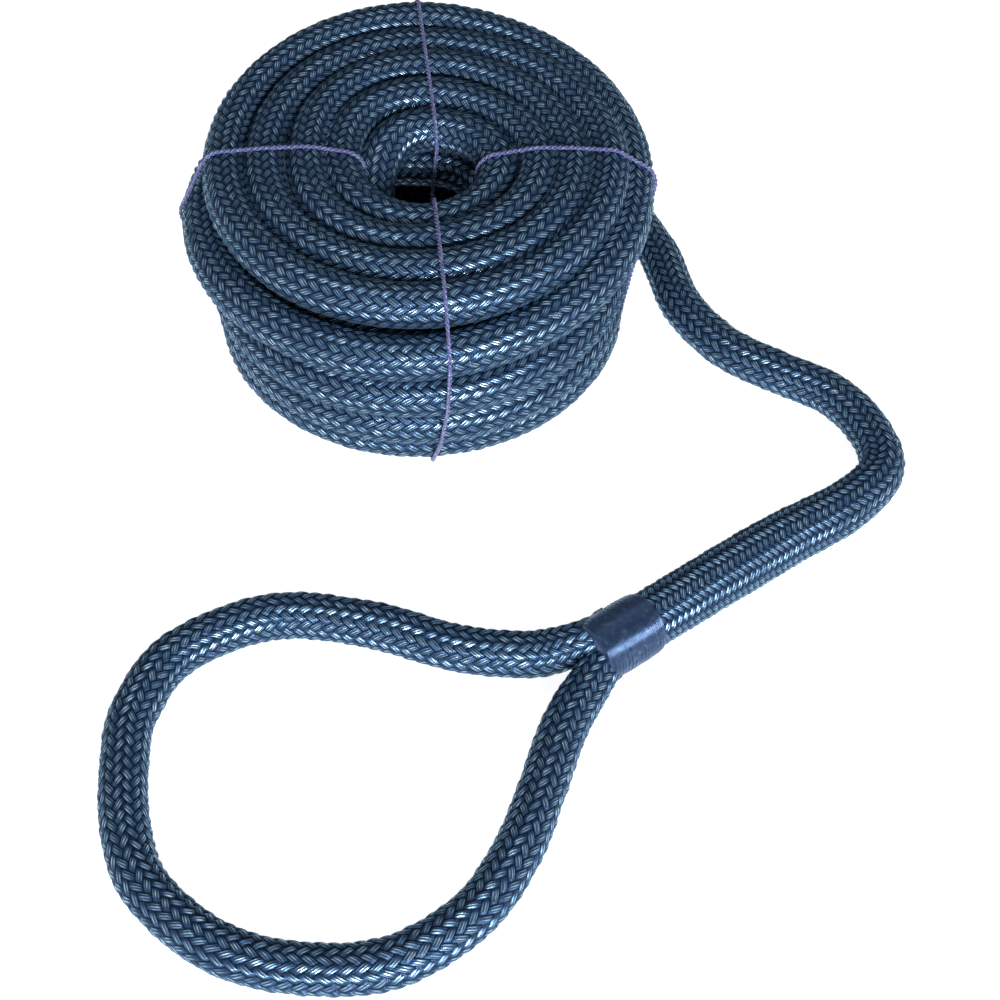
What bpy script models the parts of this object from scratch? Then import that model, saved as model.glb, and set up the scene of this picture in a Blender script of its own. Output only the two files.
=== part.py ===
"""Coiled dock line: a double-braided rope, coiled and tied, with a spliced eye at its free end.

Metres, +Z up, standing on z = 0. The coil is at the back (+Y), the lead leaves it on its right (+X),
turns back on itself, and ends in the spliced eye at the front left.
"""

import math

import bmesh
import bpy
from mathutils import Matrix, Vector

# Driving dimensions.
ROPE = 0.020  # rope diameter
GAP = 0.0003  # clearance between pieces that touch on the real line
STRING = 0.0020  # diameter of the strings that tie the coil

# The coil: a turned ring that stands in for every turn.
COIL_X = -0.0478
COIL_Y = 0.1190
COIL_LEAN = 0.17  # how far the coil leans back for each unit of its height
COIL_STEPS = 96
HOLE_RADIUS = 1.25 * ROPE
COIL_HEIGHT = 4.75 * ROPE
BASE_RADIUS = 4.60 * ROPE
WIDEST_RADIUS = 5.70 * ROPE
WIDEST_HEIGHT = 3.50 * ROPE
CROWN_RADIUS = 5.10 * ROPE
BASE_CHAMFER = 0.30 * ROPE
CROWN_ROUNDING = 0.45 * ROPE  # how far below the crown the outer side starts to turn in
MOUTH_RADIUS = 1.90 * ROPE  # where the crown dips into the hole
LIP_RADIUS = 1.40 * ROPE
LIP_DEPTH = 0.50 * ROPE  # depths below the crown of the hole's two inner corners
HOLE_DEPTH = 1.20 * ROPE

# Heading of each tie, in degrees from +X towards +Y.
TIES = {"tie_right": 0.0, "tie_back": 92.0, "tie_left": 178.0, "tie_front": -86.0}
GROOVE_WIDTH = STRING + 0.0012
GROOVE_DEPTH = STRING + GAP
KNOT = 1.6 * STRING  # radius of a tie's knot
KNOT_HEIGHT = 0.45 * COIL_HEIGHT

# The rope's make-up.
COVER_WALL = 0.13 * ROPE
CORE_CLEARANCE = 0.0007
SPLICE_RADIUS = 0.64 * ROPE
SWELL_START = 0.20  # where the splice starts to thicken, as a share of its length
SWELL_LENGTH = 0.45
WHIPPING_WALL = 0.0014
WHIPPING_LENGTH = 1.46 * ROPE
ROUTE_STEP = 1.0 * ROPE
END_PIECE = 0.0006
END_REACH = 0.0048  # how far the short pieces at a section's ends reach
SECTION_SIDES = 3  # bevel resolution of every rope section

# The free part's centreline, from behind the coil to the throat of the eye.
LEAD_ROUTE = [
    (0.009, 0.218),
    (0.047, 0.192),
    (0.068, 0.155),
    (0.078, 0.118),
    (0.091, 0.096),
    (0.104, 0.083),
    (0.123, 0.071),
]
SPLICE_ROUTE = [
    (0.146, 0.057),
    (0.160, 0.036),
    (0.1635, 0.010),
    (0.144, -0.013),
    (0.115, -0.032),
    (0.077, -0.060),
    (0.0330, -0.0920),
]
# The eye's centreline, from one leg at the throat round to the other.
EYE_ROUTE = [
    (0.0265, -0.0840),
    (0.011, -0.0905),
    (-0.006, -0.0915),
    (-0.030, -0.088),
    (-0.066, -0.076),
    (-0.108, -0.072),
    (-0.146, -0.091),
    (-0.161, -0.119),
    (-0.163, -0.142),
    (-0.159, -0.176),
    (-0.147, -0.204),
    (-0.117, -0.229),
    (-0.082, -0.2375),
    (-0.049, -0.234),
    (-0.020, -0.214),
    (-0.003, -0.187),
    (0.007, -0.159),
    (0.018, -0.129),
    (0.0285, -0.1115),
    (0.0380, -0.1010),
]
# The bitter end lies in the coil's hole: its two ends, from the coil's axis, in rope diameters.
BITTER_END_TIP = (-0.60, -0.28)
BITTER_END_ROOT = (0.08, 0.56)


def clear_scene():
    """Removes everything the scene starts with."""
    for thing in list(bpy.data.objects):
        bpy.data.objects.remove(thing, do_unlink=True)


def new_collection(name):
    """A collection in the scene."""
    collection = bpy.data.collections.new(name)
    bpy.context.scene.collection.children.link(collection)
    return collection


def plain_material(name, colour, roughness):
    """A material of one colour."""
    material = bpy.data.materials.new(name)
    material.use_nodes = True
    shader = material.node_tree.nodes["Principled BSDF"]
    shader.inputs["Base Color"].default_value = (*colour, 1.0)
    shader.inputs["Roughness"].default_value = roughness
    material.diffuse_color = (*colour, 1.0)
    return material


def cover_material(name):
    """Navy braid, a material for each node that shows it."""
    return plain_material(name, (0.047, 0.082, 0.144), 0.6)


def core_material(name):
    """The undyed braid inside the cover."""
    return plain_material(name, (0.62, 0.62, 0.58), 0.7)


def whipping_material(name):
    """Waxed navy whipping twine."""
    return plain_material(name, (0.035, 0.075, 0.16), 0.35)


def string_material(name):
    """The violet-blue string of the ties."""
    return plain_material(name, (0.13, 0.14, 0.36), 0.5)


def shade_smooth(mesh):
    """Shades every face of a round piece smooth."""
    mesh.polygons.foreach_set("use_smooth", [True] * len(mesh.polygons))


def add_object(name, mesh, collection, material=None):
    """An object of this mesh, in this collection."""
    thing = bpy.data.objects.new(name, mesh)
    collection.objects.link(thing)
    if material:
        mesh.materials.clear()
        mesh.materials.append(material)
    return thing


def hide_cutter(thing):
    """Keeps a helper out of the render."""
    thing.hide_render = True
    thing.display_type = "WIRE"


def smooth_line(points):
    """A fine line through the points, as a Catmull-Rom curve."""
    padded = [2 * points[0] - points[1], *points, 2 * points[-1] - points[-2]]
    line = []
    for before, start, end, after in zip(padded, padded[1:], padded[2:], padded[3:]):
        for step in range(16):
            t = step / 16
            line.append(
                0.5
                * (
                    2 * start
                    + (end - before) * t
                    + (2 * before - 5 * start + 4 * end - after) * t * t
                    + (3 * start - before - 3 * end + after) * t * t * t
                )
            )
    return [*line, points[-1]]


def line_length(line):
    """The length of a line of points."""
    return sum((b - a).length for a, b in zip(line, line[1:]))


def at_distance(line, distance):
    """The point at a distance along a line."""
    for start, end in zip(line, line[1:]):
        length = (end - start).length
        if distance <= length:
            return start.lerp(end, distance / length)
        distance -= length
    return line[-1]


def section_places(length):
    """Distances along a section: evenly spaced, with a short piece at each end to square it off."""
    count = max(2, round(length / ROUTE_STEP))
    inner = [length * step / count for step in range(1, count)]
    return [0.0, END_PIECE, END_REACH, *inner, length - END_REACH, length - END_PIECE, length]


def cut_line(line, first, last):
    """The part of a line between two distances from its start."""
    kept = []
    walked = 0.0
    for start, end in zip(line, line[1:]):
        length = (end - start).length
        for cut in (first, last):
            if walked < cut < walked + length:
                kept.append(start.lerp(end, (cut - walked) / length))
        walked += length
        if first < walked < last:
            kept.append(end)
    return [line[0], *kept] if first <= 0 else kept


def tube_curve(name, points, radii, closed=False, capped=True):
    """A round tube along the points, as a curve, which may taper."""
    curve = bpy.data.curves.new(name, "CURVE")
    curve.dimensions = "3D"
    curve.bevel_depth = max(radii)
    curve.bevel_resolution = SECTION_SIDES
    curve.use_fill_caps = capped
    spline = curve.splines.new("POLY")
    spline.points.add(len(points) - 1)
    spline.use_cyclic_u = closed
    for point, place, radius in zip(spline.points, points, radii):
        point.co = (*place, 1.0)
        point.radius = radius / max(radii)
    return curve


def tube_mesh(name, points, radii, closed=False, capped=True):
    """The same tube as a mesh, its caps welded on."""
    helper = bpy.data.objects.new(name + "_path", tube_curve(name, points, radii, closed, capped))
    bpy.context.scene.collection.objects.link(helper)
    graph = bpy.context.evaluated_depsgraph_get()
    mesh = bpy.data.meshes.new_from_object(helper.evaluated_get(graph))
    bpy.data.objects.remove(helper, do_unlink=True)
    work = bmesh.new()
    work.from_mesh(mesh)
    bmesh.ops.remove_doubles(work, verts=work.verts, dist=1e-6)
    bmesh.ops.recalc_face_normals(work, faces=work.faces)
    work.to_mesh(mesh)
    work.free()
    mesh.name = name
    shade_smooth(mesh)
    return mesh


def section(line, radius_at):
    """A section's points and its radius at each. radius_at gives the radius at a share of its length."""
    length = line_length(line)
    places = section_places(length)
    return [at_distance(line, place) for place in places], [radius_at(place / length) for place in places]


def add_rod(name, line, radius_at, collection, material):
    """A solid round section of rope along a line."""
    points, radii = section(line, radius_at)
    return add_object(name, tube_mesh(name, points, radii), collection, material)


def add_sleeve(name, line, radius_at, wall, collection, material):
    """A hollow round section along a line, open at both ends."""
    points, radii = section(line, radius_at)
    mesh = tube_mesh(name, points, radii, capped=False)
    sleeve = add_object(name, mesh, collection, material)
    shell = sleeve.modifiers.new("wall", "SOLIDIFY")
    shell.thickness = wall
    shell.offset = -1.0
    shell.use_even_offset = True
    shell.use_rim = True
    return sleeve


def lean(point):
    """A point of the upright coil, moved as the coil leans."""
    return Vector((point.x, point.y + COIL_LEAN * point.z, point.z))


def coil_outline(base=0.0):
    """The ring's section as (radius, height), down its outer side and up the hole, cut off level at its base."""
    left = 1.0 - base / BASE_CHAMFER
    return [
        (MOUTH_RADIUS, COIL_HEIGHT - 0.05 * ROPE),
        (CROWN_RADIUS, COIL_HEIGHT),
        (WIDEST_RADIUS - 0.12 * ROPE, COIL_HEIGHT - CROWN_ROUNDING),
        (WIDEST_RADIUS, WIDEST_HEIGHT),
        (BASE_RADIUS + BASE_CHAMFER, BASE_CHAMFER),
        (BASE_RADIUS + BASE_CHAMFER * (1.0 - left), base),
        (HOLE_RADIUS + BASE_CHAMFER * left, base),
        (HOLE_RADIUS, BASE_CHAMFER),
        (HOLE_RADIUS, COIL_HEIGHT - HOLE_DEPTH),
        (LIP_RADIUS, COIL_HEIGHT - LIP_DEPTH),
    ]


def tie_outline(clearance):
    """The tie's way round the coil's section and through its groove, as a closed line of (radius, height)."""
    outline = [Vector(pair) for pair in coil_outline(GROOVE_DEPTH)]
    pushed = []
    for before, here, after in zip(outline[-1:] + outline, outline, outline[1:] + outline[:1]):
        into = (here - before).normalized()
        out_of = (after - here).normalized()
        normals = [Vector((-into.y, into.x)), Vector((-out_of.y, out_of.x))]
        middle = (normals[0] + normals[1]).normalized()
        pushed.append(here + middle * clearance / middle.dot(normals[0]))
    return pushed


def on_heading(radius, height, heading):
    """A place on the leaning coil at a radius and a height, on a heading in degrees."""
    turn = math.radians(heading)
    upright = Vector((radius * math.cos(turn), radius * math.sin(turn), height))
    return lean(upright) + Vector((COIL_X, COIL_Y, 0.0))


def tie_points(heading):
    """The tie's centreline, clear of the coil all the way round."""
    return [on_heading(radius, height, heading) for radius, height in tie_outline(STRING / 2 + GAP)]


def add_coil(collection, cutters):
    """The ring, turned from its outline, leaning back, with a groove beneath for each tie."""
    mesh = bpy.data.meshes.new("coil")
    outline = [(radius, 0.0, height) for radius, height in coil_outline()]
    edges = [(n, (n + 1) % len(outline)) for n in range(len(outline))]
    mesh.from_pydata(outline, edges, [])
    coil = add_object("coil", mesh, collection)
    screw = coil.modifiers.new("turn", "SCREW")
    screw.steps = COIL_STEPS
    screw.render_steps = COIL_STEPS
    screw.use_merge_vertices = True
    screw.merge_threshold = 0.0001
    screw.use_normal_calculate = True
    graph = bpy.context.evaluated_depsgraph_get()
    turned = bpy.data.meshes.new_from_object(coil.evaluated_get(graph))
    for vertex in turned.vertices:
        vertex.co = lean(vertex.co) + Vector((COIL_X, COIL_Y, 0.0))
    coil.modifiers.clear()
    coil.data = turned
    turned.name = "coil"
    turned.materials.append(cover_material("coil_braid"))
    shade_smooth(turned)
    for name, heading in TIES.items():
        groove = coil.modifiers.new(name + "_groove", "BOOLEAN")
        groove.operation = "DIFFERENCE"
        groove.solver = "EXACT"
        groove.object = add_groove(name, heading, cutters)
    return coil


def add_groove(name, heading, cutters):
    """The cutter of a tie's groove beneath the coil, a flat bar from the hole to past the outside."""
    inner = HOLE_RADIUS - ROPE
    outer = WIDEST_RADIUS
    bpy.ops.mesh.primitive_cube_add(size=1.0)
    bar = bpy.context.active_object
    bar.name = name + "_cutter"
    bar.data.transform(Matrix.Diagonal((outer - inner, GROOVE_WIDTH, 2 * GROOVE_DEPTH, 1.0)))
    bar.data.transform(Matrix.Translation(((outer + inner) / 2, 0.0, 0.0)))
    bar.data.transform(Matrix.Rotation(math.radians(heading), 4, "Z"))
    bar.data.transform(Matrix.Translation((COIL_X, COIL_Y, 0.0)))
    for collection in list(bar.users_collection):
        collection.objects.unlink(bar)
    cutters.objects.link(bar)
    hide_cutter(bar)
    return bar


def add_tie(name, heading, collection, cutters):
    """A string round the coil's section, with its knot inside the hole."""
    points = tie_points(heading)
    mesh = tube_mesh(name, points, [STRING / 2] * len(points), closed=True)
    tie = add_object(name, mesh, collection, string_material(name + "_string"))
    centre = on_heading(HOLE_RADIUS - GAP - KNOT, KNOT_HEIGHT, heading)
    bpy.ops.mesh.primitive_uv_sphere_add(segments=20, ring_count=12, radius=KNOT, location=centre)
    knot = bpy.context.active_object
    knot.name = name + "_knot"
    for holder in list(knot.users_collection):
        holder.objects.unlink(knot)
    cutters.objects.link(knot)
    hide_cutter(knot)
    join = tie.modifiers.new("knot", "BOOLEAN")
    join.operation = "UNION"
    join.solver = "EXACT"
    join.object = knot
    return tie


def raised(points, heights):
    """Flat route points at their heights."""
    return [Vector((x, y, height)) for (x, y), height in zip(points, heights)]


def ease(share):
    """A smooth rise from 0 to 1."""
    share = min(max(share, 0.0), 1.0)
    return share * share * (3.0 - 2.0 * share)


def splice_radius(share):
    """The splice keeps the rope's own radius at first and swells to its full size round the bend."""
    return ROPE / 2 + (SPLICE_RADIUS - ROPE / 2) * ease((share - SWELL_START) / SWELL_LENGTH)


def add_lead_and_splice(collection):
    """The rope from the coil to the throat: cover and core, then the doubled part and its whipping."""
    route = LEAD_ROUTE + SPLICE_ROUTE
    whipped = SPLICE_RADIUS + GAP + WHIPPING_WALL
    swelling = [splice_radius(n / len(SPLICE_ROUTE)) for n in range(1, len(SPLICE_ROUTE) - 1)]
    heights = [ROPE / 2] * len(LEAD_ROUTE) + swelling + [whipped, whipped]
    line = smooth_line(raised(route, heights))
    whole = line_length(line)
    lead_length = line_length(smooth_line(raised(LEAD_ROUTE, heights)))
    lead = cut_line(line, 0.0, lead_length)
    splice = cut_line(line, lead_length + 2 * GAP, whole)
    core = ROPE / 2 - COVER_WALL - CORE_CLEARANCE
    add_sleeve("lead_cover", lead, lambda share: ROPE / 2, COVER_WALL, collection, cover_material("lead_braid"))
    add_rod("lead_core", lead, lambda share: core, collection, core_material("lead_core_braid"))
    inset = COVER_WALL + CORE_CLEARANCE
    cover = cover_material("splice_braid")
    add_sleeve("splice_cover", splice, splice_radius, COVER_WALL, collection, cover)
    inner = core_material("splice_core_braid")
    add_sleeve("splice_core", splice, lambda share: splice_radius(share) - inset, COVER_WALL, collection, inner)
    tail = cover_material("splice_tail_braid")
    add_rod("splice_tail", splice, lambda share: splice_radius(share) - 2 * inset, collection, tail)
    wrapped = cut_line(line, whole - WHIPPING_LENGTH, whole)
    twine = whipping_material("whipping_twine")
    add_sleeve("whipping", wrapped, lambda share: whipped, WHIPPING_WALL, collection, twine)


def add_eye(collection):
    """The loop, its cover and its core."""
    line = smooth_line(raised(EYE_ROUTE, [ROPE / 2] * len(EYE_ROUTE)))
    core = ROPE / 2 - COVER_WALL - CORE_CLEARANCE
    add_sleeve("eye_cover", line, lambda share: ROPE / 2, COVER_WALL, collection, cover_material("eye_braid"))
    add_rod("eye_core", line, lambda share: core, collection, core_material("eye_core_braid"))


def add_bitter_end(collection):
    """The line's other end, heat-sealed to a dome, lying in the coil's hole."""
    tip, root = (
        Vector((COIL_X + x * ROPE, COIL_Y + y * ROPE, ROPE / 2)) for x, y in (BITTER_END_TIP, BITTER_END_ROOT)
    )
    steps = [(0.0, 0.62), (0.075, 0.9), (0.2, 1.0), (1.0, 1.0)]
    points = [tip.lerp(root, share) for share, _ in steps]
    radii = [fullness * (ROPE / 2 - 2 * GAP) for _, fullness in steps]
    mesh = tube_mesh("bitter_end", points, radii)
    add_object("bitter_end", mesh, collection, cover_material("bitter_end_braid"))


def main():
    clear_scene()
    parts = new_collection("coiled_dock_line")
    cutters = new_collection("cutters")
    add_coil(parts, cutters)
    for name, heading in TIES.items():
        add_tie(name, heading, parts, cutters)
    add_lead_and_splice(parts)
    add_eye(parts)
    add_bitter_end(parts)


main()
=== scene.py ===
"""Coiled dock line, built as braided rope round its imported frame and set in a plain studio.

Metres, +Z up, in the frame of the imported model. Lengths along and across the rope are in rope diameters.
"""

import math

import bpy
import numpy as np
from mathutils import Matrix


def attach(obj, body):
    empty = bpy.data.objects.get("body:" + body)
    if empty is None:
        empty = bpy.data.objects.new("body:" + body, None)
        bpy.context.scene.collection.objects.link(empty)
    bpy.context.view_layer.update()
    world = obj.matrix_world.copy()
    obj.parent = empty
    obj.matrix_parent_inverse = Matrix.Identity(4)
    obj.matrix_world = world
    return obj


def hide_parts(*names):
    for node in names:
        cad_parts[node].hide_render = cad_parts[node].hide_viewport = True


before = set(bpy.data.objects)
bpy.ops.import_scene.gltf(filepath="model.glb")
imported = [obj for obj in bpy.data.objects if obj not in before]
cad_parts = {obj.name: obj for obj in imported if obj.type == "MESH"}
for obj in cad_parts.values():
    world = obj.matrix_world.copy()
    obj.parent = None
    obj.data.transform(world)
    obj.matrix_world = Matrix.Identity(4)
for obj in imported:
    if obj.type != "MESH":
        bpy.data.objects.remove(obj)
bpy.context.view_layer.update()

# The rope and its small parts.
ROPE = 0.020
STRING = 0.0020
COIL_ROPE = 1.03 * ROPE  # the rope lies a little wider in the coil
SPLICE_WIDTH = 1.27 * ROPE
WHIPPING_WIDTH = 1.43 * ROPE
WHIPPING_LENGTH = 1.46 * ROPE
WHIPPING_REACH = 0.20 * ROPE  # how far it reaches past the splice, over the eye's legs
THREAD = 0.00062  # the whipping twine's spacing
THREAD_STEPS = 36
THREAD_THICKNESS = 0.60  # radius of the twine, as a share of its spacing
WHIPPING_ROUNDING = 0.11  # how much thinner the whipping is at its ends

LYING = ROPE / 2 + 0.0001  # height of the centre of a rope that lies on the floor
WHIPPING_HEIGHT = 0.0145

# The coil, in the same place as its solid.
COIL_X = -0.0478
COIL_Y = 0.1190
COIL_LEAN = 0.17
KNOT_TOP = 2.2 * ROPE  # the ties' knots lie below this, inside the hole
# Each tie: its heading in degrees, the radius of the hole's wall that it takes in, in rope diameters,
# and how far it strays to its left at the hole and at the outside.
TIES = {
    "tie_right": (0.0, 1.1, 0.0, 0.0),
    "tie_back": (92.0, 1.1, -0.0090, 0.0),
    "tie_left": (178.0, 1.3, -0.0015, 0.0070),
    "tie_front": (-86.0, 1.1, 0.0060, 0.0085),
}

# The free part's centreline. It goes where its solids go, except that the eye's legs come together a few
# millimetres sooner.
LEAD_ROUTE = [
    (0.009, 0.218),
    (0.047, 0.192),
    (0.068, 0.155),
    (0.078, 0.118),
    (0.091, 0.096),
    (0.104, 0.083),
    (0.123, 0.071),
]
SPLICE_ROUTE = [
    (0.146, 0.057),
    (0.160, 0.036),
    (0.1635, 0.010),
    (0.144, -0.013),
    (0.115, -0.032),
    (0.077, -0.060),
    (0.0330, -0.0920),
]
EYE_ROUTE = [
    (0.0290, -0.0872),
    (0.011, -0.0905),
    (-0.006, -0.0915),
    (-0.030, -0.088),
    (-0.066, -0.076),
    (-0.108, -0.072),
    (-0.146, -0.091),
    (-0.161, -0.119),
    (-0.163, -0.142),
    (-0.159, -0.176),
    (-0.147, -0.204),
    (-0.117, -0.229),
    (-0.082, -0.2375),
    (-0.049, -0.234),
    (-0.020, -0.214),
    (-0.003, -0.187),
    (0.007, -0.159),
    (0.0165, -0.129),
    (0.0243, -0.1130),
    (0.0330, -0.0990),
]
# The eye's legs run on into the whipping, squeezed together, the first leg a little over the second.
FIRST_LEG_END = (0.0376, -0.0811, 0.0170)
SECOND_LEG_END = (0.0425, -0.0905, 0.0122)
FIRST_LEG_HEIGHT = 0.0160
SECOND_LEG_HEIGHT = 0.0112
LEG_SQUEEZE = 0.84  # the legs' width in the whipping, as a share of the rope's
LEG_TAPER = 0.060  # how far along the eye the squeeze reaches, as a share of its length
SWELL_START = 0.20
SWELL_LENGTH = 0.45

# The last turn slopes down over the turns beneath it and reaches the floor behind the coil:
# share of the way round, radius and height.
OUTER_TURN = [
    (0.0, 5.30, 4.30),
    (0.125, 5.15, 4.10),
    (0.25, 5.00, 3.80),
    (0.375, 5.08, 3.60),
    (0.5, 5.20, 3.42),
    (0.625, 5.10, 3.34),
    (0.75, 5.05, 3.15),
    (0.85, 5.30, 2.65),
    (0.92, 5.50, 2.10),
    (1.0, 5.62, 1.20),
    (1.04, 5.68, 0.72),
    (1.083, 5.713, 0.505),
]

# The coil's turns in the order they are wound, inner to outer or outer to inner:
# radius, height, and bulges to the front, the right and the left, all in rope diameters.
FLOOR_TURNS = [
    (1.85, 0.53, 0.0, 0.0, 0.0),
    (2.70, 0.53, 0.0, 0.0, 0.0),
    (3.54, 0.53, 0.0, 0.0, 0.0),
    (4.38, 0.53, 0.0, 0.0, 0.0),
]
SECOND_TURNS = [
    (4.40, 1.42, 0.5, 0.0, 0.0),
    (3.56, 1.42, 0.3, 0.0, 0.0),
    (2.74, 1.42, 0.0, 0.0, 0.0),
    (1.94, 1.38, 0.0, 0.0, 0.0),
]
THIRD_TURNS = [
    (2.66, 2.34, 0.2, 0.1, 0.0),
    (3.58, 2.38, 0.4, 0.0, 0.0),
    (4.50, 2.40, 0.7, 0.0, 0.0),
]
FOURTH_TURNS = [
    (4.10, 3.27, 0.0, 0.1, 0.0),
    (3.25, 3.30, 0.0, 0.1, 0.0),
    (2.40, 3.30, 0.0, 0.1, 0.0),
    (1.62, 3.05, 0.0, 0.30, -0.55),
]
TOP_TURNS = [
    (1.66, 4.04, 0.0, 0.30, 0.12),
    (2.62, 4.19, 0.0, 0.22, -0.04),
    (3.54, 4.23, 0.0, 0.10, 0.0),
    (4.45, 4.18, 0.0, 0.0, 0.04),
]
STEP_START = 0.72  # each turn keeps its radius this far round, and then steps to the next
LEAD_IN = 25.0  # degrees that the bitter end reaches back past the start of the first turn
BITTER_TUCK = 0.27  # how far the bitter end leans into the hole
CLIMB_START = 0.45  # where the turn under the top layer starts to climb out of the hole
NOTCH = 0.12  # how far the front string pulls the inner turn outwards
NOTCH_WIDTH = 20.0  # degrees
BULGES_FACE = (-90.0, 0.0, 180.0)  # headings of the bulges to the front, the right and the left
BULGE_SHARPNESS = 1.5
TUCK_FADED = 10.0  # the azimuth at which the bitter end's lean has gone
TUCK_SPAN = 105.0
RADIUS_WOBBLE = 0.025  # no turn above the floor lies perfectly true
HEIGHT_WOBBLE = 0.030
TURN_POINTS = 72
LEAD_IN_POINTS = 12
ROUTE_STEPS = 16  # points along each span of a given route
COIL_SPACING = 0.1 * ROPE
COIL_SOFTENING = 15  # points over which the coil's small corners are averaged

# The braid: 32 strands, each passing over two and under two.
STRANDS = 16  # strands wound each way
COIL_PITCH = 0.285  # spacing of one way's strands along the rope, in rope diameters
LEAD_PITCH = 0.265
SPLICE_PITCH = 0.165  # the cover bunches up over the splice
EYE_PITCH = 0.280
RELIEF = 0.048  # height of a strand over the valleys, in rope diameters
RELIEF_LEVEL = 0.72  # the share of that height that lies at the rope's own width
STRAND_ROUNDNESS = 2.6  # power of a strand's profile across it
STRAND_BEND = 3.6  # power of its profile along it
STRAND_LIFT = (0.80, 0.40)  # a strand's height: the least, and what chance adds
TONES = 4096  # how many random values the strands share
DOME_LENGTH = 0.45 * ROPE  # the bitter end is rounded over this length
DOME_TIP = 0.04
YARNS = 3.0  # yarns to a strand

# The ties' string. Its sizes are in its own widths.
TIE_CLEARANCE = 0.35
TIE_FLOOR = 0.6  # the string's lowest height
TIE_SPACING = 0.25
TIE_TWIST = 2.6  # length of one full twist of the two plies
PLY_OFFSET = 0.24
PLY_RADIUS = 0.27
STRAY_SWING = 0.62  # how the string strays over the coil's height, in half waves
DISC_POINTS = 32
KNOT_REACH = 1.3  # how far the knot stands out into the hole
KNOT_SIZE = 0.50
KNOT_THICKNESS = 0.42
KNOT_POINTS = 72

# The studio. The floor glows so that it stays white and shows no shadow.
FLOOR_SIZE = 60.0
FLOOR_DROP = 0.0004  # about as far as the lowest strands reach below the solids
FLOOR_GLOW = 0.93
LIGHTS_AIM = (0.0, 0.0, 0.05)
# Each light: its place, its width and depth, and its power in watts.
LIGHTS = {
    "key_light": ((0.30, -1.50, 0.70), (0.7, 0.5), 64.0),
    "top_light": ((-0.3, 0.5, 1.9), (1.2, 1.2), 7.0),
    "left_light": ((-1.7, -0.3, 0.8), (0.9, 0.9), 2.5),
    "right_light": ((1.7, -0.3, 0.9), (0.9, 0.9), 3.0),
}
# How bright the surroundings are at the horizon and overhead, and between which heights they fade.
WORLD_HORIZON = 0.55
WORLD_TOP = 0.12
WORLD_FADE = (0.04, 0.38)

# The camera.
CAMERA = (-0.0098, -0.602, 0.732)
CAMERA_TILT = 39.5
CAMERA_LENS = 74.88


def place_camera():
    """A camera above and in front of the line."""
    data = bpy.data.cameras.new("camera")
    data.lens = CAMERA_LENS
    data.sensor_width = 36.0
    camera = bpy.data.objects.new("camera", data)
    camera.location = CAMERA
    camera.rotation_euler = (math.radians(CAMERA_TILT), 0.0, 0.0)
    bpy.context.scene.collection.objects.link(camera)
    bpy.context.scene.camera = camera


def ease(share):
    """A smooth rise from 0 to 1."""
    share = np.clip(share, 0.0, 1.0)
    return share * share * (3.0 - 2.0 * share)


def lengths_along(line):
    """The distance of each point from the line's start."""
    return np.concatenate([[0.0], np.cumsum(np.linalg.norm(np.diff(line, axis=0), axis=1))])


def resample(line, spacing):
    """The line with evenly spaced points."""
    walked = lengths_along(line)
    places = np.linspace(0.0, walked[-1], max(2, round(walked[-1] / spacing)) + 1)
    return np.stack([np.interp(places, walked, line[:, axis]) for axis in range(3)], axis=1)


def smooth_line(points):
    """A fine line through the points, as a Catmull-Rom curve."""
    points = [np.array(point, float) for point in points]
    padded = [2 * points[0] - points[1], *points, 2 * points[-1] - points[-2]]
    line = []
    for before, start, end, after in zip(padded, padded[1:], padded[2:], padded[3:]):
        for step in range(ROUTE_STEPS):
            t = step / ROUTE_STEPS
            line.append(
                0.5
                * (
                    2 * start
                    + (end - before) * t
                    + (2 * before - 5 * start + 4 * end - after) * t * t
                    + (3 * start - before - 3 * end + after) * t * t * t
                )
            )
    return np.array([*line, points[-1]])


def soften(line, window):
    """The line with its small corners averaged away, its ends kept."""
    half = window // 2
    before = 2 * line[0] - line[half:0:-1]
    after = 2 * line[-1] - line[-2 : -half - 2 : -1]
    padded = np.concatenate([before, line, after])
    kernel = np.ones(2 * half + 1) / (2 * half + 1)
    return np.stack([np.convolve(padded[:, axis], kernel, "valid") for axis in range(3)], axis=1)


def coil_place(azimuth, radius, height):
    """A place in the leaning coil. Azimuth in degrees from +X towards +Y, radius and height in diameters."""
    turn = np.radians(azimuth)
    x = COIL_X + radius * ROPE * np.cos(turn)
    y = COIL_Y + radius * ROPE * np.sin(turn) + COIL_LEAN * (height - 0.5) * ROPE
    return np.stack([x, y, height * ROPE], axis=-1)


def whole_turn(turns, number):
    """One whole turn's azimuths, radii and heights, with its step to the next turn."""
    share = np.arange(TURN_POINTS) / TURN_POINTS
    azimuth = 90.0 - 360.0 * share
    radius, height, *bulges = turns[number]
    after = turns[number + 1] if number + 1 < len(turns) else OUTER_TURN[0][1:]
    step = ease((share - STEP_START) / (1.0 - STEP_START))
    climb = step
    radii = radius + (after[0] - radius) * step
    for bulge, facing in zip(bulges, BULGES_FACE):
        radii = radii + bulge * np.maximum(0.0, np.cos(np.radians(azimuth - facing))) ** BULGE_SHARPNESS
    # The turn before the top layer climbs early, out of the hole, and the front string notches the next one.
    top = len(turns) - len(TOP_TURNS)
    if number == top - 1:
        climb = ease((share - CLIMB_START) / (1.0 - CLIMB_START))
    if number == top:
        radii = radii + NOTCH * np.exp(-(((azimuth - TIES["tie_front"][0]) / NOTCH_WIDTH) ** 2))
    heights = height + (after[1] - height) * climb
    if number >= len(FLOOR_TURNS):
        radii = radii + RADIUS_WOBBLE * np.sin(np.radians(3.0 * azimuth) + 2.1 * number)
        heights = heights + HEIGHT_WOBBLE * np.sin(np.radians(2.0 * azimuth) + 1.7 * number)
    return azimuth - 360.0 * number, radii, heights


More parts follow.
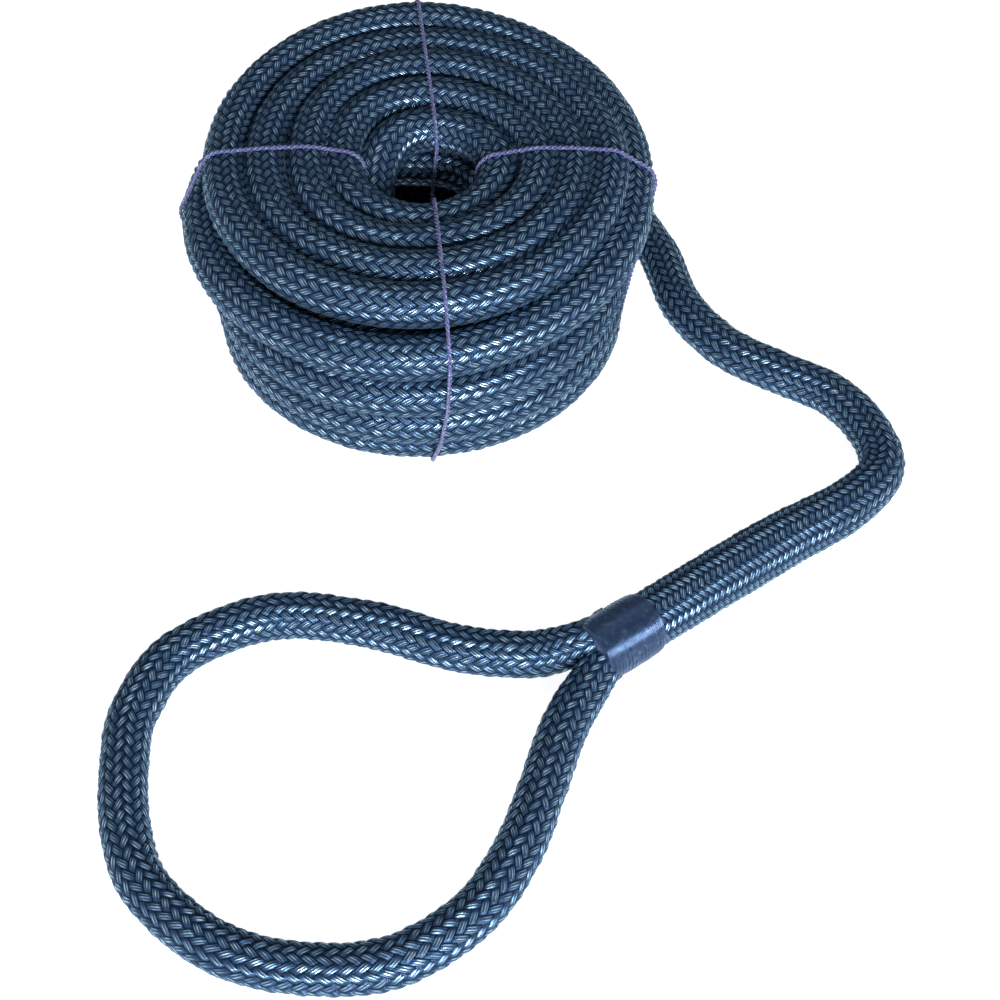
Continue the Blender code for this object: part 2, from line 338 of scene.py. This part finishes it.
def sloping_turn(number):
    """The last turn's azimuths, radii and heights."""
    outer = np.array(OUTER_TURN)
    share = np.linspace(0.0, outer[-1, 0], TURN_POINTS)
    radii = np.interp(share, outer[:, 0], outer[:, 1])
    heights = np.interp(share, outer[:, 0], outer[:, 2])
    return 90.0 - 360.0 * number - 360.0 * share, radii, heights


def coil_line():
    """The coil's centreline from the bitter end, clockwise from above. Each turn starts at the back."""
    turns = FLOOR_TURNS + SECOND_TURNS + THIRD_TURNS + FOURTH_TURNS + TOP_TURNS
    radius, height = turns[0][:2]
    back = np.linspace(LEAD_IN, 1.0, LEAD_IN_POINTS)
    parts = [(90.0 + back, np.full(len(back), radius), np.full(len(back), height))]
    parts += [whole_turn(turns, number) for number in range(len(turns))]
    parts.append(sloping_turn(len(turns)))
    azimuth, radii, heights = (np.concatenate([part[n] for part in parts]) for n in range(3))
    radii = radii - BITTER_TUCK * ease((azimuth - TUCK_FADED) / TUCK_SPAN)
    line = resample(coil_place(azimuth, radii, heights), COIL_SPACING)
    return soften(line, COIL_SOFTENING)


def free_line():
    """The centreline of the lead and the splice, and functions for its width and pitch at a share of it."""
    swelling = [splice_width(n / len(SPLICE_ROUTE)) / 2 for n in range(1, len(SPLICE_ROUTE) - 1)]
    heights = [LYING] * len(LEAD_ROUTE) + swelling + [WHIPPING_HEIGHT, WHIPPING_HEIGHT]
    points = [(x, y, z) for (x, y), z in zip(LEAD_ROUTE + SPLICE_ROUTE, heights)]
    line = smooth_line(points)
    lead = smooth_line(points[: len(LEAD_ROUTE)])
    lead_share = lengths_along(lead)[-1] / lengths_along(line)[-1]

    def along_splice(share):
        return (share - lead_share) / (1.0 - lead_share)

    def width(share):
        return splice_width(along_splice(share))

    def pitch(share):
        bunched = ease((along_splice(share) - SWELL_START) / SWELL_LENGTH)
        return LEAD_PITCH + (SPLICE_PITCH - LEAD_PITCH) * bunched

    return line, width, pitch


def splice_width(share):
    """The splice's width at a share of its length."""
    return ROPE + (SPLICE_WIDTH - ROPE) * ease((share - SWELL_START) / SWELL_LENGTH)


def eye_line():
    """The eye's centreline, from inside the whipping round to inside it again."""
    flat = [(x, y, LYING) for x, y in EYE_ROUTE[1:-1]]
    first = (*EYE_ROUTE[0], FIRST_LEG_HEIGHT)
    last = (*EYE_ROUTE[-1], SECOND_LEG_HEIGHT)
    return smooth_line([FIRST_LEG_END, first, *flat, last, SECOND_LEG_END])


def eye_width(share):
    """The eye's width at a share of its length: its legs are squeezed where they enter the whipping."""
    from_end = np.minimum(share, 1.0 - share)
    return ROPE * (LEG_SQUEEZE + (1.0 - LEG_SQUEEZE) * ease(from_end / LEG_TAPER))


def even(value):
    """A size that is the same all along a line."""
    return lambda share: np.full(np.shape(share), value)


def directions(line):
    """The way ahead at each point of a line."""
    ahead = np.gradient(line, axis=0)
    return ahead / np.linalg.norm(ahead, axis=1)[:, None]


def level_frames(line):
    """The side and the up at each point of a line that never stands upright. The side stays level."""
    ahead = directions(line)
    side = np.cross(ahead, (0.0, 0.0, 1.0))
    side /= np.linalg.norm(side, axis=1)[:, None]
    return side, np.cross(side, ahead)


def carried_frames(line):
    """Two directions across a line at each point, carried along it without twisting."""
    ahead = directions(line)
    side = np.cross(ahead[0], (0.31, 0.22, 0.93))
    sides = []
    for direction in ahead:
        side = side - direction * side.dot(direction)
        side = side / np.linalg.norm(side)
        sides.append(side)
    side = np.array(sides)
    return side, np.cross(side, ahead)


def at(places, walked, values):
    """Values known along a line, read at other places on it."""
    return np.stack([np.interp(places, walked, values[:, axis]) for axis in range(3)], axis=-1)


def add_mesh(name, points, quads, triangles, strand_map=None, tone=None, bake_map=None):
    """A smooth-shaded mesh object from arrays of points and corners."""
    mesh = bpy.data.meshes.new(name)
    corners = np.concatenate([quads.ravel(), triangles.ravel()]).astype(np.int32)
    sizes = np.concatenate([np.full(len(quads), 4), np.full(len(triangles), 3)]).astype(np.int32)
    mesh.vertices.add(len(points))
    mesh.loops.add(len(corners))
    mesh.polygons.add(len(sizes))
    mesh.vertices.foreach_set("co", points.astype(np.float32).ravel())
    mesh.loops.foreach_set("vertex_index", corners)
    mesh.polygons.foreach_set("loop_start", np.concatenate([[0], np.cumsum(sizes)[:-1]]).astype(np.int32))
    mesh.polygons.foreach_set("use_smooth", np.ones(len(sizes), bool))
    for label, values in (("strand", strand_map), ("OFBake", bake_map)):
        if values is not None:
            layer = mesh.uv_layers.new(name=label)
            layer.data.foreach_set("uv", values.astype(np.float32).ravel())
    if tone is not None:
        values = mesh.attributes.new("strand_tone", "FLOAT", "FACE")
        values.data.foreach_set("value", tone.astype(np.float32))
    mesh.update(calc_edges=True)
    mesh.validate()
    piece = bpy.data.objects.new(name, mesh)
    bpy.context.scene.collection.objects.link(piece)
    return piece


def bake_strips(face_row, t, cells, rows, triangles):
    """A braided tube unwrapped: its length in strips side by side, each as wide as the tube is round."""
    length = rows / (2 * cells)
    strip_width = STRANDS + 1.0
    strips = max(1, round(math.sqrt(length / strip_width)))
    strip_length = length / strips
    scale = 0.98 / max(strips * strip_width, strip_length + 1.0)
    strip = np.minimum((face_row / (2 * cells) / strip_length).astype(int), strips - 1)
    centre_u = (t + 1) / (2 * cells) + 0.5 + strip * strip_width
    centre_v = face_row / (2 * cells) - strip * strip_length + 0.5
    half = 1 / (2 * cells)
    u = centre_u[:, None] + half * np.array([-1, 0, 1, 0])
    v = centre_v[:, None] + half * np.array([0, 1, 0, -1])
    quads = np.stack([u, v], axis=-1).reshape(-1, 2) * scale
    spare = np.tile([[0.985, 0.985], [0.985, 0.995], [0.995, 0.985]], (triangles, 1))
    return np.concatenate([quads, spare])


def braid_quads(rows, columns):
    """Each face's row and column on a braided tube, and its left, top, right and bottom corners."""
    face_row = np.repeat(np.arange(1, rows), columns)
    left = np.tile(np.arange(columns), rows - 1)
    middle = (left + face_row % 2) % columns
    quads = np.stack(
        [
            face_row * columns + left,
            (face_row + 1) * columns + middle,
            face_row * columns + (left + 1) % columns,
            (face_row - 1) * columns + middle,
        ],
        axis=1,
    )
    return face_row, left, quads


def strand_places(face_row, t, cells):
    """Which strand each face lies on.

    Returns a key for the strand's visible part there, and the face's corners' places across and along it.
    The strands wound one way pass over two and under two of the others, each a step on from the last.
    """
    q = (t + face_row) // 2
    p = (t - face_row) // 2
    i = p // cells
    j = q // cells
    phase = (i + j) % 4
    on_top = phase < 2
    corner_p = p[:, None] + np.array([0, 0, 1, 1])
    corner_q = q[:, None] + np.array([0, 1, 1, 0])
    first = np.where(on_top, j - (phase == 1), i - (phase == 3))
    strand = np.where(on_top, i, j)
    across = np.where(on_top[:, None], corner_p, corner_q) / cells - strand[:, None] - 0.5
    along = np.where(on_top[:, None], corner_q, corner_p) / cells - first[:, None] - 1.0
    # Large primes spread the keys, so that no pattern shows.
    key = (strand * 7919 + first * 104729 + on_top * 31) % TONES
    return key, across, along


def end_triangles(rows, columns, tips):
    """A row of triangles that squares off each end of a braided tube, and a fan to a tip that closes it."""
    ring = np.arange(columns)
    onward = np.roll(ring, -1)
    end = rows * columns
    return np.concatenate(
        [
            np.stack([ring, columns + ring, onward], axis=1),
            np.stack([end + ring, end + onward, end - columns + ring], axis=1),
            np.stack([np.full(columns, tips[0]), ring, onward], axis=1),
            np.stack([np.full(columns, tips[1]), end + onward, end + ring], axis=1),
        ]
    )


def unevenness(places, seed):
    """The small swellings along a rope, as a factor on its width."""
    quick = 0.006 * np.sin(places / ROPE * 1.9 + seed)
    slow = 0.005 * np.sin(places / ROPE * 0.7 + 2 * seed)
    return 1.0 + quick + slow


def braid(name, line, width_at, pitch_at, cells, seed, start_dome=False):
    """A braided tube along a line.

    width_at and pitch_at give its width in metres and the spacing of its strands in rope diameters, at a
    share of its length. cells is the number of faces along each side of a crossing. The mesh's rows run along
    the strands, so every face lies on one strand. The map "strand" holds a face's place across and along its
    strand, and "strand_tone" a value of its own for each strand's visible part.
    """
    walked = lengths_along(line)
    side, up = level_frames(line)
    steps = np.diff(walked) / (ROPE * pitch_at(walked[1:] / walked[-1]))
    crossings = np.concatenate([[0.0], np.cumsum(steps)])
    rows = int(crossings[-1] * 2 * cells) // 2 * 2
    columns = STRANDS * cells
    row = np.repeat(np.arange(rows + 1), columns)
    column = np.tile(np.arange(columns), rows + 1)
    places = np.interp(row / rows * crossings[-1], crossings, walked)
    angle = (2 * column + row % 2) / (2 * columns) * 2 * math.pi

    face_row, left, quads = braid_quads(rows, columns)
    t = 2 * left + face_row % 2
    key, across, along = strand_places(face_row, t, cells)

    # Every visible part of a strand stands a little higher or lower than the next.
    table = np.random.RandomState(seed).rand(TONES)
    tone = table[key]
    least, chance = STRAND_LIFT
    lift = least + chance * table[(key * 17 + 5) % TONES]
    profile = (1.0 - np.abs(2.0 * across) ** STRAND_ROUNDNESS) * (1.0 - np.abs(along) ** STRAND_BEND)
    relief = np.zeros((rows + 1) * columns)
    relief[quads.ravel()] = (profile * lift[:, None]).ravel()

    width = width_at(places / walked[-1])
    radius = width / 2 * unevenness(places, seed) + (relief - RELIEF_LEVEL) * RELIEF * ROPE
    if start_dome:
        radius = radius * np.sqrt(np.clip(places / DOME_LENGTH, 0.0, 1.0) * (1.0 - DOME_TIP) + DOME_TIP)
    sideways = np.cos(angle)[:, None] * at(places, walked, side)
    upwards = np.sin(angle)[:, None] * at(places, walked, up)
    points = at(places, walked, line) + (sideways + upwards) * radius[:, None]

    triangles = end_triangles(rows, columns, (len(points), len(points) + 1))
    points = np.concatenate([points, line[:1], line[-1:]])
    face_map = np.stack([across + 0.5, along], axis=-1).reshape(-1, 2)
    strand_map = np.concatenate([face_map, np.zeros((3 * len(triangles), 2))])
    tones = np.concatenate([tone, np.full(len(triangles), 0.5)])
    bake_map = bake_strips(face_row, t, cells, rows, len(triangles))
    return add_mesh(name, points, quads, triangles, strand_map, tones, bake_map)


class Graph:
    """A material's nodes, with short ways to add and join them."""

    def __init__(self, name):
        self.material = bpy.data.materials.new(name)
        self.material.use_nodes = True
        self.tree = self.material.node_tree
        self.shader = self.tree.nodes["Principled BSDF"]

    def add(self, kind, inputs=None, **settings):
        """A node with its settings. inputs maps a socket's name or number to a value or another socket."""
        node = self.tree.nodes.new("ShaderNode" + kind)
        for key, value in settings.items():
            setattr(node, key, value)
        for key, value in (inputs or {}).items():
            self.set(node, key, value)
        return node

    def set(self, node, key, value):
        """Sets a node's input, or joins another node's output to it."""
        if isinstance(value, bpy.types.NodeSocket):
            self.tree.links.new(value, node.inputs[key])
        else:
            node.inputs[key].default_value = value

    def math(self, operation, first, second=0.0, clamp=False):
        """One arithmetic step."""
        return self.add("Math", {0: first, 1: second}, operation=operation, use_clamp=clamp).outputs[0]

    def ramp(self, factor, stops):
        """Colours by factor. stops are (position, colour)."""
        node = self.add("ValToRGB", {0: factor})
        elements = node.color_ramp.elements
        while len(elements) < len(stops):
            elements.new(0.5)
        for element, (position, colour) in zip(elements, stops):
            element.position = position
            element.color = (*colour, 1.0)
        return node.outputs[0]


def braid_material(name):
    """Navy filament yarns, three to a strand, with painted highlights along the yarns' crests and painted
    shade in the cracks between strands.
    """
    g = Graph(name)
    place = g.add("UVMap", uv_map="strand").outputs[0]
    parts = g.add("SeparateXYZ", {0: place})
    across, along = parts.outputs[0], parts.outputs[1]
    tone = g.add("Attribute", attribute_name="strand_tone").outputs["Fac"]
    # Fine filaments, long along the strand, that also bend its yarns a little.
    stretched = {
        0: g.math("MULTIPLY", across, 9.0),
        1: g.math("MULTIPLY", along, 0.8),
        2: g.math("MULTIPLY", tone, 53.0),
    }
    where = g.add("CombineXYZ", stretched).outputs[0]
    filaments = g.add("TexNoise", {"Vector": where, "Scale": 1.6, "Detail": 3.0, "Roughness": 0.6}).outputs[0]
    wobble = g.math("MULTIPLY", g.math("SUBTRACT", filaments, 0.5), 0.14)
    wave = g.math("SINE", g.math("MULTIPLY", g.math("ADD", across, wobble), YARNS * math.pi))
    yarns = g.math("ABSOLUTE", wave)
    # The strand's colour darkens to near black along its edges and ends: painted shade in the cracks between
    # strands.
    centre = g.math("MULTIPLY", g.math("SUBTRACT", across, 0.5), 2.0)
    edge = g.math("SUBTRACT", 1.0, g.math("POWER", g.math("ABSOLUTE", centre), 5.0))
    ends = g.math("SUBTRACT", 1.0, g.math("POWER", g.math("ABSOLUTE", along), 6.0))
    crest = g.math("MULTIPLY", edge, ends, clamp=True)
    # A painted highlight lies along each yarn, short and at a place of its own on every strand, brighter on
    # some.
    offset = g.math("MULTIPLY", g.math("SUBTRACT", tone, 0.5), 0.5)
    from_painted_highlight = g.math("SUBTRACT", along, offset)
    fading = g.math("MULTIPLY", g.math("MULTIPLY", from_painted_highlight, from_painted_highlight), 2.2)
    short = g.math("SUBTRACT", 1.0, fading, clamp=True)
    line = g.math("MULTIPLY", g.math("POWER", yarns, 5.0), short)
    strength = g.math("ADD", g.math("MULTIPLY", filaments, 1.1), g.math("MULTIPLY", tone, 0.60))
    painted_highlight = g.math("MULTIPLY", g.math("MULTIPLY", line, strength), crest, clamp=True)
    level = g.math("ADD", g.math("MULTIPLY", crest, 0.40), g.math("MULTIPLY", painted_highlight, 0.60))
    # Near black is painted shade in the cracks, the flat blue is the strand's own colour, and the light blues
    # are painted highlight.
    colour = g.ramp(
        level,
        [
            (0.00, (0.0005, 0.0014, 0.0045)),
            (0.24, (0.0105, 0.0240, 0.0570)),
            (0.40, (0.0215, 0.0475, 0.1060)),
            (0.60, (0.0900, 0.1720, 0.2700)),
            (1.00, (0.5000, 0.7000, 0.7900)),
        ],
    )
    g.set(g.shader, "Base Color", colour)
    g.set(g.shader, "Roughness", 0.32)
    # The painted highlights are also more metallic and shine like satin, the rest of the strand less.
    g.set(g.shader, "Metallic", g.math("ADD", g.math("MULTIPLY", painted_highlight, 0.55), 0.45, clamp=True))
    height = g.math("ADD", yarns, g.math("MULTIPLY", filaments, 0.7))
    bump = g.add("Bump", {"Strength": 0.55, "Distance": 0.00030, "Height": height}).outputs[0]
    g.set(g.shader, "Normal", bump)
    g.set(g.shader, "Specular IOR Level", 0.3)
    g.set(g.shader, "Specular Tint", (0.50, 0.78, 1.0, 1.0))
    g.set(g.shader, "Anisotropic", 0.85)
    tangent = g.add("Tangent", direction_type="UV_MAP", uv_map="strand").outputs[0]
    g.set(g.shader, "Tangent", tangent)
    g.set(g.shader, "Sheen Weight", 0.05)
    g.set(g.shader, "Sheen Roughness", 0.35)
    g.set(g.shader, "Sheen Tint", (0.45, 0.68, 0.90, 1.0))
    return g.material


def twine_material():
    """The whipping's waxed navy twine."""
    g = Graph("whipping_twine")
    where = g.add("TexCoord").outputs["Object"]
    mottle = g.add("TexNoise", {"Vector": where, "Scale": 420.0, "Detail": 3.0}).outputs[0]
    colour = g.ramp(
        mottle,
        [(0.32, (0.014, 0.030, 0.080)), (0.58, (0.024, 0.050, 0.120)), (0.80, (0.080, 0.145, 0.250))],
    )
    g.set(g.shader, "Base Color", colour)
    g.set(g.shader, "Roughness", 0.19)
    g.set(g.shader, "Metallic", 0.60)
    fibres = g.add("TexNoise", {"Vector": where, "Scale": 1900.0, "Detail": 2.0}).outputs[0]
    bump = g.add("Bump", {"Strength": 0.30, "Distance": 0.0002, "Height": fibres}).outputs[0]
    g.set(g.shader, "Normal", bump)
    g.set(g.shader, "Specular IOR Level", 1.0)
    g.set(g.shader, "Specular Tint", (0.70, 0.88, 1.0, 1.0))
    g.set(g.shader, "Sheen Weight", 0.1)
    g.set(g.shader, "Sheen Tint", (0.5, 0.7, 0.95, 1.0))
    return g.material


def string_material():
    """The ties' violet-blue twisted string."""
    g = Graph("tie_string")
    where = g.add("TexCoord").outputs["Object"]
    mottle = g.add("TexNoise", {"Vector": where, "Scale": 900.0, "Detail": 2.0}).outputs[0]
    colour = g.ramp(
        mottle,
        [(0.32, (0.030, 0.038, 0.120)), (0.58, (0.066, 0.078, 0.215)), (0.80, (0.230, 0.255, 0.480))],
    )
    g.set(g.shader, "Base Color", colour)
    g.set(g.shader, "Roughness", 0.38)
    g.set(g.shader, "Sheen Weight", 0.3)
    g.set(g.shader, "Sheen Tint", (0.8, 0.8, 1.0, 1.0))
    return g.material


def paper_material():
    """The studio's white floor, mostly lit from itself."""
    g = Graph("studio_paper")
    where = g.add("TexCoord").outputs["Object"]
    grain = g.add("TexNoise", {"Vector": where, "Scale": 60.0, "Detail": 2.0}).outputs[0]
    colour = g.ramp(grain, [(0.0, (0.29, 0.29, 0.29)), (1.0, (0.32, 0.32, 0.32))])
    g.set(g.shader, "Base Color", colour)
    g.set(g.shader, "Roughness", 0.9)
    g.set(g.shader, "Emission Color", (1.0, 1.0, 1.0, 1.0))
    g.set(g.shader, "Emission Strength", FLOOR_GLOW)
    return g.material


def finish_piece(piece, material, slot, *nodes):
    """Gives a piece its material and the body it rides on, and hides the CAD nodes it stands for. The slot is
    not used.
    """
    piece.data.materials.append(material)
    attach(piece, "root")
    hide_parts(*nodes)


def round_tube(line, radius, sides):
    """A closed round tube along a line, closed at both ends."""
    side, up = carried_frames(line)
    radii = np.broadcast_to(radius, (len(line),))
    turn = np.arange(sides) / sides * 2 * math.pi
    ring = np.cos(turn)[None, :, None] * side[:, None] + np.sin(turn)[None, :, None] * up[:, None]
    points = (line[:, None] + ring * radii[:, None, None]).reshape(-1, 3)
    here = np.arange(len(line) - 1)[:, None] * sides + np.arange(sides)
    onward = np.arange(len(line) - 1)[:, None] * sides + np.roll(np.arange(sides), -1)
    quads = np.stack([here, here + sides, onward + sides, onward], axis=-1).reshape(-1, 4)
    first = np.arange(sides)
    last = (len(line) - 1) * sides + first
    tips = [len(points), len(points) + 1]
    triangles = np.concatenate(
        [
            np.stack([np.full(sides, tips[0]), first, np.roll(first, -1)], axis=1),
            np.stack([np.full(sides, tips[1]), np.roll(last, -1), last], axis=1),
        ]
    )
    return np.concatenate([points, line[:1], line[-1:]]), quads, triangles


def join_tubes(name, tubes):
    """One piece of several closed tubes."""
    points, quads, triangles = [], [], []
    count = 0
    for tube_points, tube_quads, tube_triangles in tubes:
        points.append(tube_points)
        quads.append(tube_quads + count)
        triangles.append(tube_triangles + count)
        count += len(tube_points)
    return add_mesh(name, np.concatenate(points), np.concatenate(quads), np.concatenate(triangles))


def add_whipping(line):
    """Fine turns of twine round the throat, over a closed tube that fills the gaps between them."""
    ahead = line[-1] - line[-2]
    line = np.concatenate([line, line[-1:] + WHIPPING_REACH * ahead / np.linalg.norm(ahead)])
    walked = lengths_along(line)
    side, up = level_frames(line)
    start = walked[-1] - WHIPPING_LENGTH
    turns = int(WHIPPING_LENGTH / THREAD)
    share = np.linspace(0.0, 1.0, turns * THREAD_STEPS + 1)
    places = start + share * WHIPPING_LENGTH
    angle = 2 * math.pi * turns * share
    jitter = 1.0 + 0.007 * np.sin(angle * 0.37) + 0.005 * np.sin(angle * 1.71)
    radius = (WHIPPING_WIDTH / 2 - THREAD / 2) * whipping_crown(share) * jitter
    sideways = np.cos(angle)[:, None] * at(places, walked, side)
    upwards = np.sin(angle)[:, None] * at(places, walked, up)
    helix = at(places, walked, line) + (sideways + upwards) * radius[:, None]
    body_share = np.linspace(0.0, 1.0, 24)
    body = at(start + body_share * WHIPPING_LENGTH, walked, line)
    body_radius = (WHIPPING_WIDTH / 2 - 0.8 * THREAD) * whipping_crown(body_share)
    tubes = [
        round_tube(helix, THREAD_THICKNESS * THREAD, 6),
        round_tube(body, body_radius, 40),
    ]
    return join_tubes("whipping", tubes)


def whipping_crown(share):
    """The whipping's fullness at a share of its length: it rounds over at both ends."""
    return 1.0 - WHIPPING_ROUNDING * np.abs(2.0 * share - 1.0) ** 5


def section_hull(sections, clearance):
    """The shortest closed way round several discs, as an outline of (radius, height)."""
    turn = np.arange(DISC_POINTS) / DISC_POINTS * 2 * math.pi
    rim = [(clearance * math.cos(angle), clearance * math.sin(angle)) for angle in turn]
    rims = sorted((r + out, z + up) for r, z in sections for out, up in rim)

    def half(points):
        kept = []
        for point in points:
            while len(kept) > 1:
                (ax, ay), (bx, by) = kept[-2], kept[-1]
                if (bx - ax) * (point[1] - ay) - (by - ay) * (point[0] - ax) > 0:
                    break
                kept.pop()
            kept.append(point)
        return kept[:-1]

    return half(rims) + half(rims[::-1])


def rope_sections(line, turn, wall):
    """Where the coil's rope crosses the upright plane at a heading, from the wall out: (radius, height)."""
    axis_y = COIL_Y + COIL_LEAN * (line[:, 2] - 0.5 * ROPE)
    along = (line[:, 0] - COIL_X) * math.cos(turn) + (line[:, 1] - axis_y) * math.sin(turn)
    aside = -(line[:, 0] - COIL_X) * math.sin(turn) + (line[:, 1] - axis_y) * math.cos(turn)
    crossing = np.nonzero((aside[:-1] * aside[1:] <= 0) & (along[:-1] > wall * ROPE))[0]
    return [(along[n], line[n, 2]) for n in crossing]


def two_plies(way):
    """Two plies twisted round each other along a way."""
    walked = lengths_along(way)
    side, up = carried_frames(way)
    tubes = []
    for start in (0.0, math.pi):
        angle = walked / (TIE_TWIST * STRING) * 2 * math.pi + start
        offset = np.cos(angle)[:, None] * side + np.sin(angle)[:, None] * up
        tubes.append(round_tube(way + offset * PLY_OFFSET * STRING, PLY_RADIUS * STRING, 6))
    return tubes


def add_tie(name, line, heading, wall, inner_stray, outer_stray):
    """A two-ply string drawn tight round the coil's section, knotted in the hole."""
    turn = math.radians(heading)
    outward = np.array((math.cos(turn), math.sin(turn), 0.0))
    leftward = np.array((-math.sin(turn), math.cos(turn), 0.0))
    sections = rope_sections(line, turn, wall)
    outline = section_hull(sections, COIL_ROPE / 2 + TIE_CLEARANCE * STRING)
    outline = np.array([(r, max(z, TIE_FLOOR * STRING)) for r, z in outline + outline[:1]])
    share = (outline[:, 0] - outline[:, 0].min()) / np.ptp(outline[:, 0])
    swing = np.sin(STRAY_SWING * math.pi * outline[:, 1] / outline[:, 1].max())
    stray = (inner_stray * (1.0 - share) + outer_stray * share) * swing
    axis = np.array([(COIL_X, COIL_Y + COIL_LEAN * (z - 0.5 * ROPE), z) for z in outline[:, 1]])
    places = axis + outline[:, :1] * outward + stray[:, None] * leftward
    tubes = two_plies(resample(places, TIE_SPACING * STRING))
    # The knot lies on the string's innermost low point, and on the higher one of two as far in.
    low = places[places[:, 2] < KNOT_TOP]
    innermost = low[np.argmin(np.round((low - axis[0]) @ outward, 4) - 0.001 * low[:, 2])]
    tubes.append(knot(innermost - KNOT_REACH * STRING * outward, -outward))
    return join_tubes(name, tubes)


def knot(centre, facing):
    """A small overhand knot in the string, as a trefoil."""
    t = np.linspace(0.0, 2 * math.pi, KNOT_POINTS)
    upright = np.array((0.0, 0.0, 1.0))
    wide = (2.0 + np.cos(3 * t)) * np.cos(2 * t)
    high = (2.0 + np.cos(3 * t)) * np.sin(2 * t)
    deep = np.sin(3 * t)
    way = wide[:, None] * np.cross(facing, upright) + high[:, None] * upright + deep[:, None] * facing
    return round_tube(centre + KNOT_SIZE * STRING * way, KNOT_THICKNESS * STRING, 8)


def studio_world():
    """A pale grey round the horizon that darkens upwards."""
    world = bpy.data.worlds.new("studio")
    world.use_nodes = True
    tree = world.node_tree
    way = tree.nodes.new("ShaderNodeTexCoord").outputs["Generated"]
    parts = tree.nodes.new("ShaderNodeSeparateXYZ")
    tree.links.new(way, parts.inputs[0])
    shade = tree.nodes.new("ShaderNodeValToRGB")
    tree.links.new(parts.outputs["Z"], shade.inputs[0])
    low, high = shade.color_ramp.elements
    low.position, high.position = WORLD_FADE
    low.color = (*[WORLD_HORIZON] * 3, 1.0)
    high.color = (*[WORLD_TOP] * 3, 1.0)
    tree.links.new(shade.outputs[0], tree.nodes["Background"].inputs["Color"])
    return world


def add_light(name, place, size, power):
    """A soft rectangular light that faces the object."""
    data = bpy.data.lights.new(name, "AREA")
    data.shape = "RECTANGLE"
    data.size, data.size_y = size
    data.energy = power
    light = bpy.data.objects.new(name, data)
    light.location = place
    towards = np.array(LIGHTS_AIM) - np.array(place)
    light.rotation_euler = (
        math.acos(-towards[2] / np.linalg.norm(towards)),
        0.0,
        math.atan2(towards[1], towards[0]) - math.pi / 2,
    )
    bpy.context.scene.collection.objects.link(light)


def add_studio():
    """A pale floor and soft light from the front, from above and from both sides."""
    bpy.ops.mesh.primitive_plane_add(size=FLOOR_SIZE, location=(0.0, 0.0, -FLOOR_DROP))
    floor = bpy.context.active_object
    floor.name = "studio_floor"
    floor.data.materials.append(paper_material())
    for name, settings in LIGHTS.items():
        add_light(name, *settings)
    bpy.context.scene.world = studio_world()
    bpy.context.scene.view_settings.view_transform = "Standard"


def add_coil():
    """The coil, wound turn by turn from the bitter end. Returns its centreline."""
    line = coil_line()
    coil = braid("coil_rope", line, even(COIL_ROPE), even(COIL_PITCH), 3, 11, start_dome=True)
    finish_piece(coil, braid_material("coil_braid"), "rope_cover", "coil", "bitter_end")
    return line


def add_lead():
    """The lead and the splice, one length of rope that swells. Returns its centreline."""
    line, width, pitch = free_line()
    lead = braid("lead_and_splice", line, width, pitch, 4, 23)
    nodes = ("lead_cover", "lead_core", "splice_cover", "splice_core", "splice_tail")
    finish_piece(lead, braid_material("lead_braid"), "rope_cover", *nodes)
    return line


def add_eye():
    """The eye, squeezed where its legs enter the whipping."""
    line = eye_line()
    eye = braid("eye", line, eye_width, even(EYE_PITCH), 4, 37)
    finish_piece(eye, braid_material("eye_braid"), "rope_cover", "eye_cover", "eye_core")


def add_ties(line):
    """The four strings round the coil."""
    string = string_material()
    for name, way in TIES.items():
        finish_piece(add_tie(name + "_string", line, *way), string, "tie_string", name)


place_camera()
coil_path = add_coil()
lead_path = add_lead()
add_eye()
finish_piece(add_whipping(lead_path), twine_material(), "whipping_twine", "whipping")
add_ties(coil_path)
add_studio()
